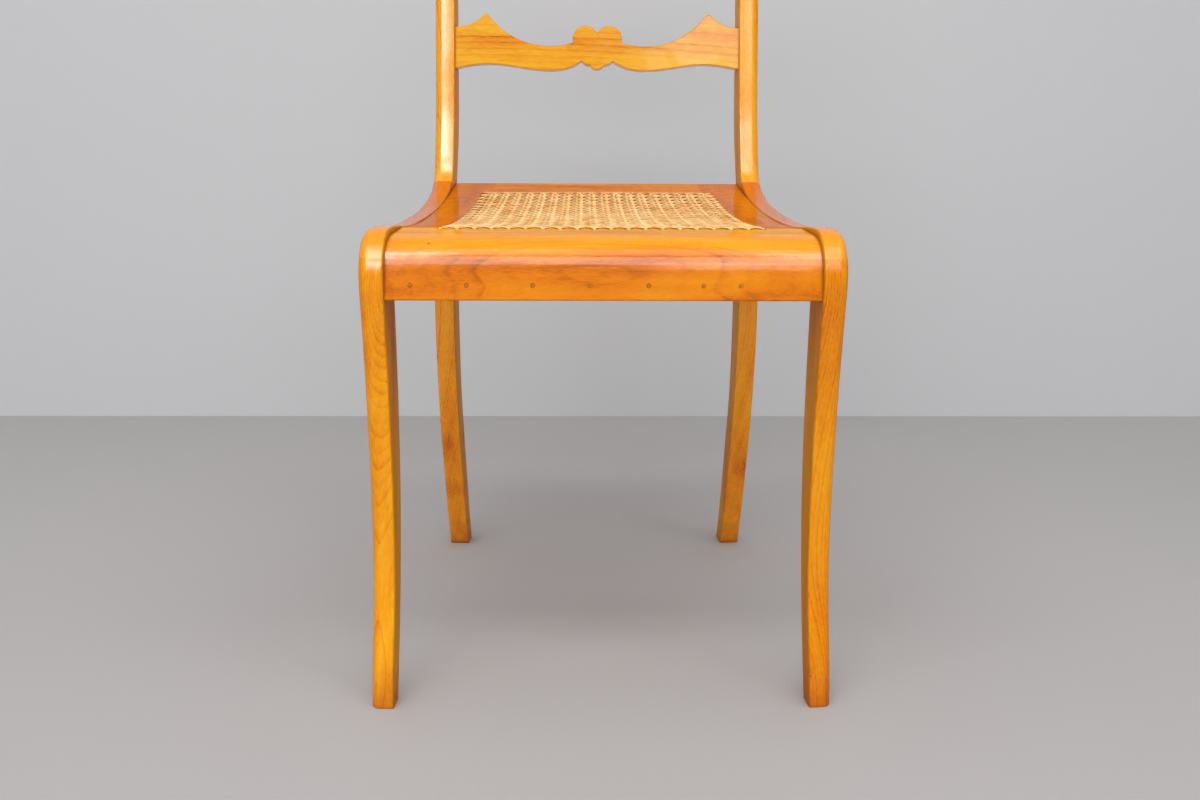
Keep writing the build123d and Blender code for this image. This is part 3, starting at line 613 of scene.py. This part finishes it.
# %% [markdown]
# ## Blocks and screws under the seat
# The seat frame rests on four glue blocks and is held by screws from below. Nobody polished the blocks:
# they are cherry offcuts with a little shellac that soaked in. The same cherry serves, with a dull, thin
# coat. The screws are steel, grey where it was filed and brown where it has rusted, so one noise drives
# both their colour and their roughness.

# %% Blocks
CORNERS = ("front_left", "front_right", "rear_left", "rear_right")
BLOCK_SEED = 20.0
for number, corner in enumerate(CORNERS):
    block = nodes["corner_block_" + corner]
    low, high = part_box(block.name)
    heart = (0.0, 0.0, (low.z + high.z) / 2)
    seed = BLOCK_SEED + number
    dress(block, cherry("raw_cherry_" + corner, UP, heart, tone=0.75, seed=seed, gloss=0.6, coat=0.1))
print("raw blocks:", len(CORNERS))

# %% Screws
TARNISH_BREADTH = 2.4 * MM
STEEL_TONES = ((0.35, linear("8C8A86")), (0.65, linear("5A4436")))


def old_steel(name):
    """Hand-cut steel, grey brown with age: bare metal is smoother than rust."""
    made, tree = new_material(name)
    place = add_node(tree, "TexCoord").outputs["Object"]
    tarnish = add_node(
        tree, "TexNoise", {"Vector": place, "Scale": 1 / TARNISH_BREADTH, "Detail": 5.0}
    ).outputs["Fac"]
    colour = add_node(tree, "ValToRGB", {"Fac": tarnish}, stops=STEEL_TONES).outputs["Color"]
    rough = add_node(tree, "MapRange", {"Value": tarnish, "To Min": 0.3, "To Max": 0.7}).outputs[0]
    steel = add_node(tree, "BsdfPrincipled", {"Base Color": colour, "Metallic": 0.9, "Roughness": rough})
    add_node(tree, "OutputMaterial", {"Surface": steel.outputs[0]})
    return made


dress(nodes["seat_screws"], old_steel("old_steel"))
print("screws of old steel")

# %% [markdown]
# ## Filled holes in the front rail
# A row of old holes in the front rail was filled and polished over. The fillings are pieces of their
# own, flush with the wood. What the eye sees is a dark ring, where polish has gathered round each
# filling, broken here and there. The ring could be a piece too, but it has no thickness. So the
# fillings' material measures how far each point is from the nearest filling's middle.

# %% Middles of the fillings
ROW_GAP = 10 * MM  # more than a filling's width, less than the distance to the next


def middles(piece):
    """X and Z of the middle of each loose solid of a row along X."""
    groups = []
    for vertex in sorted(piece.data.vertices, key=lambda v: v.co.x):
        if not groups or vertex.co.x - groups[-1][-1].x > ROW_GAP:
            groups.append([])
        groups[-1].append(vertex.co)
    spots = []
    for group in groups:
        xs, zs = [spot.x for spot in group], [spot.z for spot in group]
        spots.append(((min(xs) + max(xs)) / 2, (min(zs) + max(zs)) / 2))
    return spots


fillings = nodes["front_rail_plugs"]
filling_spots = middles(fillings)
print("fillings:", len(filling_spots))

# %% Tinted putty
RING_INSIDE = 1.75 * MM  # where the dark ring starts, inside the fillings' radius of 2.2 mm
RING_WIDTH = 0.8 * MM
RING_RAGGED = 1.2 * MM
GRIT = 1.1 * MM
BREAKS = 3 * MM  # breadth of the gaps in the ring
BREAK_EDGE = (0.42, 0.6)  # values of the noise from a gap to the whole ring
FAR_OFF = 1.0  # in metres, further than any filling


def filled_hole(spots):
    """Putty tinted to the wood, with a dark ring of polish at its edge."""
    made, tree = new_material("tinted_putty")
    place = add_node(tree, "TexCoord").outputs["Object"]
    face = add_node(tree, "VectorMath", {0: place, 1: (1.0, 0.0, 1.0)}, operation="MULTIPLY").outputs[0]
    nearest = FAR_OFF
    for x, z in spots:
        gap = add_node(tree, "VectorMath", {0: face, 1: (x, 0.0, z)}, operation="DISTANCE").outputs["Value"]
        nearest = add_node(tree, "Math", {0: gap, 1: nearest}, operation="MINIMUM").outputs[0]
    grit = add_node(tree, "TexNoise", {"Vector": place, "Scale": 1 / GRIT, "Detail": 3.0}).outputs["Fac"]
    ragged = add_node(
        tree, "Math", {0: grit, 1: RING_RAGGED, 2: nearest}, operation="MULTIPLY_ADD"
    ).outputs[0]
    ring = add_node(
        tree, "MapRange",
        {"Value": ragged, "From Min": RING_INSIDE, "From Max": RING_INSIDE + RING_WIDTH},
    ).outputs[0]
    breaks = add_node(tree, "TexNoise", {"Vector": place, "Scale": 1 / BREAKS}).outputs["Fac"]
    kept = add_node(
        tree, "MapRange", {"Value": breaks, "From Min": BREAK_EDGE[0], "From Max": BREAK_EDGE[1]}
    ).outputs[0]
    broken = add_node(tree, "Math", {0: ring, 1: kept}, operation="MULTIPLY").outputs[0]
    tint = add_node(
        tree, "Mix", {"Factor": broken, "A": linear("C46C08"), "B": linear("4E1E04")}, data_type="RGBA"
    )
    polish = add_node(
        tree, "BsdfPrincipled",
        {
            "Base Color": tint.outputs["Result"], "Roughness": WOOD_ROUGHNESS, "Specular IOR Level": 0.0,
            "Coat Weight": 1.0, "Coat Roughness": SHELLAC_ROUGHNESS, "Coat IOR": SHELLAC_IOR,
        },
    )
    add_node(tree, "OutputMaterial", {"Surface": polish.outputs[0]})
    return made


dress(fillings, filled_hole(filling_spots))
print("putty with a ring", round(RING_WIDTH / MM, 1), "mm wide")

# %% [markdown]
# ## The cane seat: its shape
# The seat is woven by hand in the six-way pattern: pairs of strands from front to back, pairs from
# side to side, and single strands along both diagonals, all strung through a ring of holes. The back
# row has as many holes as the wider front row, so the strands fan out. The boards are dished behind a
# level front edge, and the cane follows them. A grid of polygons would have to be bent to all this. It
# is easier to have one function that gives any point of the seat, counted in spaces between holes.

# %% Shape of the seat
SPACES = 19  # between the holes of a row, across and deep
HOLE_BORDER = 4.0 * MM  # from the holes to the drawn panel's edge
DISH_RADIUS = 1.25
DISH_LOW = -0.0432  # depth of the seat's lowest line
BOARD_EDGE = -0.1643  # depth of the front board's back edge; the board in front is level

panel_low, panel_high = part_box("cane_panel")
front_row = panel_low.y + HOLE_BORDER
back_row = panel_high.y - HOLE_BORDER
front_half = panel_high.x - HOLE_BORDER * (1 + math.sin(SIDE_TURN)) / math.cos(SIDE_TURN)


def seat_point(column, row, lift=0.0):
    """A point of the seat, counted in spaces from its front left-hand hole, with a lift in metres."""
    y = front_row + (back_row - front_row) * row / SPACES
    half = front_half - (y - front_row) * math.tan(SIDE_TURN)
    fall = max(y, BOARD_EDGE) - DISH_LOW
    z = panel_low.z + DISH_RADIUS - math.sqrt(DISH_RADIUS**2 - fall**2)
    return Vector((half * (2 * column / SPACES - 1), y, z + lift))


print("front row:", round(2 * front_half, 3), "m wide, seat", round(back_row - front_row, 3), "m deep")

# %% [markdown]
# ## The cane seat: paths of the strands
# A caner strings the pairs first, each strand over and under the pairs that cross it, and then the
# diagonals, one set over the pairs from side to side and under the others, one set the other way. At
# its ends a strand bends over the rim and goes down into a hole, and below the frame it loops to the
# next. A texture of cane could show the pattern, but not the gaps and the light between the strands, so
# each strand is a path of its own: a list of points with the rise and fall of the weave.

# %% Into the holes
HOLE_SIDE = 1.0 * MM  # by which the strands go in at the hole's inner side
HOLE_DROP = 6.0 * MM
LIP = 1.0 * MM  # height of the bend over the hole's rim
LIP_REACH = 2.4  # distance of the bend's highest point from the hole's middle, as a multiple of HOLE_SIDE
LIP_TURN = 0.6  # height at which the strand turns down, as a share of the lip's


def into_holes(path, first, last):
    """Adds both ends of a path: a bend over the rim, then down into the first and the last hole."""
    ends = []
    for rim, hole in ((path[0], seat_point(*first)), (path[-1], seat_point(*last))):
        inward = (rim - hole).normalized() * HOLE_SIDE
        below = hole + inward - Vector((0, 0, HOLE_DROP))
        mouth = hole + inward + Vector((0, 0, LIP * LIP_TURN))
        crown = hole + LIP_REACH * inward + Vector((0, 0, LIP))
        ends.append((below, mouth, crown))
    return [*ends[0], *path, *reversed(ends[1])]


print("a bend of", round(LIP / MM, 1), "mm over the rim, then", round(HOLE_DROP / MM), "mm down")

# %% Pairs
LIE = 0.9 * MM  # height of the weave's middle over the boards
OVER = 0.34 * MM  # rise and fall of the pairs at each crossing
PAIR = 0.18  # half the distance between the two strands of a pair, in spaces
LEVEL = 0.3  # distance from a crossing, in spaces, where a strand is back at the weave's middle

# Rise of a strand along one space: a place from the crossing and a share of the height.
PAIR_WAVE = ((-LEVEL, 0.0), (-PAIR, -1.0), (0.0, 0.0), (PAIR, 1.0), (LEVEL, 0.0))


def paired_strand(line, side, lengthwise):
    """One strand of a pair along a line of holes. Lengthwise strands run from front to back."""
    path = []
    for crossing in range(1, SPACES):
        for place, rise in PAIR_WAVE:
            lift = LIE + OVER * rise * side * (1 if lengthwise else -1)
            run, beside = crossing + place, line + side * PAIR
            path.append(seat_point(beside, run, lift) if lengthwise else seat_point(run, beside, lift))
    ends = [(line, 0), (line, SPACES)] if lengthwise else [(0, line), (SPACES, line)]
    return into_holes(path, *ends)


strands = [
    paired_strand(line, side, way) for way in (True, False) for line in range(1, SPACES) for side in (-1, 1)
]
print("strands in pairs:", len(strands))

# %% Diagonals
DIAGONAL_OVER = 0.76 * MM  # rise and fall of the diagonals, which lie above or below a whole pair
DIAGONAL_REST = 0.17  # half the length, in spaces, over which a diagonal lies on a pair


def diagonal_strand(offset, rising):
    """One diagonal, halfway between the crossings, over the pairs of one kind and under the other.

    Rising ones run to the back right, over the pairs from side to side. The others run to the front right.
    """
    first, last = max(0, offset), SPACES + min(0, offset)
    path = []
    for half_step in range(2 * first + 2, 2 * last - 1):
        over = half_step % 2 == 1
        column = half_step / 2
        row = column - offset + (0.5 if rising else -0.5)
        lift = LIE + DIAGONAL_OVER * (1 if over == rising else -1)
        path += [(column + slip, row + slip, lift) for slip in (-DIAGONAL_REST, DIAGONAL_REST)]
    if not path:
        path = [((first + last) / 2, (first + last) / 2 - offset, LIE)]
    # A falling diagonal is a rising one seen in a mirror, from back to front.
    points = [seat_point(column, row if rising else SPACES - row, lift) for column, row, lift in path]
    ends = [(column, column - offset if rising else SPACES - column + offset) for column in (first, last)]
    return into_holes(points, *ends)


strands += [diagonal_strand(offset, way) for way in (True, False) for offset in range(1 - SPACES, SPACES)]
print("strands with the diagonals:", len(strands))

# %% Loops under the frame
STRAND_THICKNESS = 0.65 * MM
UNDERSIDE = 0.4482  # height of the boards' lower face
LOOP_SAG = 0.6 * STRAND_THICKNESS  # of the loops' middle under the boards


def loop_below(start, end):
    """A short strand under the boards, from one hole to the next."""
    path = []
    for spot, depth in ((start, 0.0), (start, HOLE_DROP), (end, HOLE_DROP), (end, 0.0)):
        place = seat_point(*spot)
        place.z = UNDERSIDE + HOLE_DROP - depth - LOOP_SAG
        path.append(place)
    return path


for step in range(0, SPACES, 2):
    strands += [loop_below((step, end), (step + 1, end)) for end in (0, SPACES)]
    strands += [loop_below((end, step), (end, step + 1)) for end in (0, SPACES)]
print("strands with the loops:", len(strands), "points:", sum(len(s) for s in strands))

# %% [markdown]
# ## The cane seat: weaving
# A strand of cane is a flat strip with a crowned, glossy top: the rattan's bark. Boxes bent along the
# paths would need a modifier each. A curve does it in one go: it draws a small section along every path
# and keeps the crown upwards. The curves become one mesh, which takes the place of the drawn panel.

# %% Section of a strand
STRAND_WIDTH = 2.9 * MM
EDGE_INSET = 0.92  # half width at the crown's foot, as a share of the strip's
EDGE_HEIGHT = 0.2  # height of the crown's foot over the middle, as a share of the thickness


def strand_section():
    """The strand's section as a small closed curve: flat below, crowned above."""
    half, thick = STRAND_WIDTH / 2, STRAND_THICKNESS
    shoulder, foot = half * EDGE_INSET, thick * EDGE_HEIGHT
    outline = [(-half, -thick / 2), (half, -thick / 2), (shoulder, foot), (0, thick / 2), (-shoulder, foot)]
    data = bpy.data.curves.new("strand_section", "CURVE")
    data.dimensions = "2D"
    spline = data.splines.new("POLY")
    spline.points.add(len(outline) - 1)
    for point, (x, y) in zip(spline.points, outline):
        point.co = (x, y, 0.0, 1.0)
    spline.use_cyclic_u = True
    made = bpy.data.objects.new("strand_section", data)
    bpy.context.scene.collection.objects.link(made)
    return made


section = strand_section()
print("section", round(STRAND_WIDTH / MM, 1), "by", round(STRAND_THICKNESS / MM, 2), "mm")


# %% Weave
def woven(name, paths, profile):
    """A mesh of ribbons along the paths, with the profile as their section, which it uses up."""
    data = bpy.data.curves.new(name, "CURVE")
    data.dimensions = "3D"
    data.twist_mode = "Z_UP"
    for path in paths:
        spline = data.splines.new("POLY")
        spline.points.add(len(path) - 1)
        for point, place in zip(spline.points, path):
            point.co = (*place, 1.0)
    data.bevel_mode = "OBJECT"
    data.bevel_object = profile
    data.use_fill_caps = True
    made = bpy.data.objects.new(name, data)
    bpy.context.scene.collection.objects.link(made)
    bpy.ops.object.select_all(action="DESELECT")
    made.select_set(True)
    bpy.context.view_layer.objects.active = made
    bpy.ops.object.convert(target="MESH")
    bpy.data.objects.remove(profile)
    bpy.ops.object.mode_set(mode="EDIT")
    bpy.ops.mesh.select_all(action="SELECT")
    bpy.ops.mesh.normals_make_consistent(inside=False)
    bpy.ops.object.mode_set(mode="OBJECT")
    return bpy.context.active_object


cane = woven("woven_cane", strands, section)
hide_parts("cane_panel")
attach(cane, "root")
print("cane faces:", len(cane.data.polygons))

# %% [markdown]
# ## The cane seat: its finish
# Split cane is straw yellow with a satin shine. It darkens to honey with age, in blotches, and no two
# strips have quite the same tone. Dust turns the crossings brown, and painted shade darkens them too. A
# material for every strip would be tedious, so the shader asks for a number by lot for each loose strip of
# the mesh.

# %% Finish of the cane
BLOTCH_BREADTH = 17 * MM
STRIP_SHARE = 0.24  # by which the strips differ in tone
CANE_TONES = ((0.35, linear("FFE4AE")), (0.65, linear("FDCA80")), (0.9, linear("DA9442")))
CROSSING_REACH = 3 * MM
CROSSING_HOLLOW = (0.15, 0.75)  # open share of the surroundings, from the brownest crossing, dusty and in painted shade, to open cane
CROSSING_DIRT_AND_SHADE = 0.95


def split_cane(name):
    """Rattan bark, split into strips and scraped flat: straw colour, satin, a tone for each strip."""
    made, tree = new_material(name)
    place = add_node(tree, "TexCoord").outputs["Object"]
    strip = add_node(tree, "NewGeometry").outputs["Random Per Island"]
    blotch = add_node(
        tree, "TexNoise", {"Vector": place, "Scale": 1 / BLOTCH_BREADTH, "Detail": 4.0, "Roughness": 0.6}
    ).outputs["Fac"]
    tone = add_node(
        tree, "Math", {0: strip, 1: STRIP_SHARE, 2: blotch}, operation="MULTIPLY_ADD"
    ).outputs[0]
    straw = add_node(tree, "ValToRGB", {"Fac": tone}, stops=CANE_TONES).outputs["Color"]
    # Dust and painted shade: the less of its surroundings a strand sees, the browner it is painted.
    open_share = add_node(tree, "AmbientOcclusion", {"Distance": CROSSING_REACH}, samples=4).outputs["AO"]
    dirt_and_shade = add_node(
        tree, "MapRange",
        {
            "Value": open_share, "From Min": CROSSING_HOLLOW[0], "From Max": CROSSING_HOLLOW[1],
            "To Min": CROSSING_DIRT_AND_SHADE, "To Max": 0.0,
        },
    ).outputs[0]
    shaded = add_node(tree, "Mix", {"Factor": dirt_and_shade, "A": straw, "B": linear("B45A20")}, data_type="RGBA")
    bark = add_node(
        tree, "BsdfPrincipled",
        {"Base Color": shaded.outputs["Result"], "Roughness": 0.5, "Specular IOR Level": 0.2},
    )
    add_node(tree, "OutputMaterial", {"Surface": bark.outputs[0]})
    return made


dress(cane, split_cane("split_cane"))
print("cane in", len(CANE_TONES), "tones")
